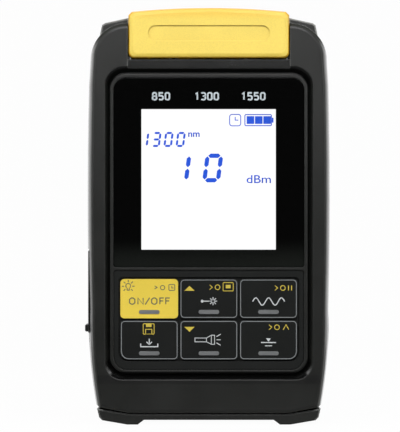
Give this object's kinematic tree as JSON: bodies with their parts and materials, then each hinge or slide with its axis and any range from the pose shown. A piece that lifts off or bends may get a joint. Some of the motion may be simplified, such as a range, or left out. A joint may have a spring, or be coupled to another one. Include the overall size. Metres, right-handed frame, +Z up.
{
  "type": "optical power meter",
  "caption": "Pocket meter for light in optical fibres: upright moulded housing, display window, keypad, flip cover over the ports, rubber side flap and battery door.",
  "frame": {"origin": "middle of the bottom, on the surface that the two bottom ridges stand on", "axes": "+Z up along the meter's length, front with the display towards -Y, +X to the right as seen from the front"},
  "size_m": [0.0715, 0.032, 0.12],
  "materials": {
    "housing_plastic": "fine moulded texture",
    "yellow_plastic": "satin moulded",
    "window_glass": "polished",
    "key_rubber": "matt",
    "key_plastic": "fine texture",
    "switch_plastic": "moulded",
    "board_laminate": "solder mask",
    "lcd_glass": "clear",
    "light_guide": "white",
    "contact_rubber": "layered",
    "plated_metal": "nickel plated",
    "sleeve_ceramic": "ground",
    "brass_metal": "bright",
    "clear_plastic": "clear",
    "cell_metal": "plain can"
  },
  "bodies": {
    "housing": {"backlight_panel": "light_guide", "battery_cell_1": "cell_metal", "battery_cell_2": "cell_metal", "battery_cell_3": "cell_metal", "board_screws": "plated_metal", "contact_link_lower": "plated_metal", "contact_link_upper": "plated_metal", "contact_negative": "plated_metal", "contact_positive": "plated_metal", "detector_adapter": "plated_metal", "detector_can": "plated_metal", "detector_sleeve": "sleeve_ceramic", "display_window": "window_glass", "front_shell": "housing_plastic", "hinge_pin_left": "plated_metal", "hinge_pin_right": "plated_metal", "housing_screws": "plated_metal", "jack_contacts": "brass_metal", "keypad_mat": "key_rubber", "laser_adapter": "plated_metal", "laser_module": "brass_metal", "laser_sleeve": "sleeve_ceramic", "lcd_frame": "light_guide", "lcd_glass": "lcd_glass", "main_board": "board_laminate", "network_jack": "switch_plastic", "port_panel": "switch_plastic", "processor_chip": "switch_plastic", "rear_shell": "housing_plastic", "switch_fault_laser": "switch_plastic", "switch_on_off": "switch_plastic", "switch_reference": "switch_plastic", "switch_save": "switch_plastic", "switch_torch": "switch_plastic", "switch_wavelength": "switch_plastic", "torch_bezel": "plated_metal", "torch_led": "clear_plastic", "torch_lens": "clear_plastic", "zebra_strip": "contact_rubber"},
    "key_on_off_body": {"key_on_off": "yellow_plastic", "plunger_on_off": "switch_plastic"},
    "key_fault_laser_body": {"key_fault_laser": "key_plastic", "plunger_fault_laser": "switch_plastic"},
    "key_wavelength_body": {"key_wavelength": "key_plastic", "plunger_wavelength": "switch_plastic"},
    "key_save_body": {"key_save": "key_plastic", "plunger_save": "switch_plastic"},
    "key_torch_body": {"key_torch": "key_plastic", "plunger_torch": "switch_plastic"},
    "key_reference_body": {"key_reference": "key_plastic", "plunger_reference": "switch_plastic"},
    "cover": {"flip_cover": "yellow_plastic"},
    "flap": {"port_flap": "key_rubber"},
    "door": {"battery_door": "housing_plastic"}
  },
  "joints": [
    {"name": "cover_hinge", "type": "hinge", "parent": "housing", "child": "cover", "pos_m": [0, 0.012, 0.1085], "axis": [-1, 0, 0], "range_deg": [0, 110]},
    {"name": "flap_hinge", "type": "hinge", "parent": "housing", "child": "flap", "pos_m": [-0.03445, 0.001, 0.04965], "axis": [0, 1, 0], "range_deg": [0, 100]},
    {"name": "door_lift", "type": "slide", "parent": "housing", "child": "door", "axis": [0, 1, 0], "range_m": [0, 0.03]},
    {"name": "press_on_off", "type": "slide", "parent": "housing", "child": "key_on_off_body", "axis": [0, 1, 0], "range_m": [0, 0.0004], "stiffness_N_per_m": 2000},
    {"name": "press_fault_laser", "type": "slide", "parent": "housing", "child": "key_fault_laser_body", "axis": [0, 1, 0], "range_m": [0, 0.0004], "stiffness_N_per_m": 2000},
    {"name": "press_wavelength", "type": "slide", "parent": "housing", "child": "key_wavelength_body", "axis": [0, 1, 0], "range_m": [0, 0.0004], "stiffness_N_per_m": 2000},
    {"name": "press_save", "type": "slide", "parent": "housing", "child": "key_save_body", "axis": [0, 1, 0], "range_m": [0, 0.0004], "stiffness_N_per_m": 2000},
    {"name": "press_torch", "type": "slide", "parent": "housing", "child": "key_torch_body", "axis": [0, 1, 0], "range_m": [0, 0.0004], "stiffness_N_per_m": 2000},
    {"name": "press_reference", "type": "slide", "parent": "housing", "child": "key_reference_body", "axis": [0, 1, 0], "range_m": [0, 0.0004], "stiffness_N_per_m": 2000}
  ]
}
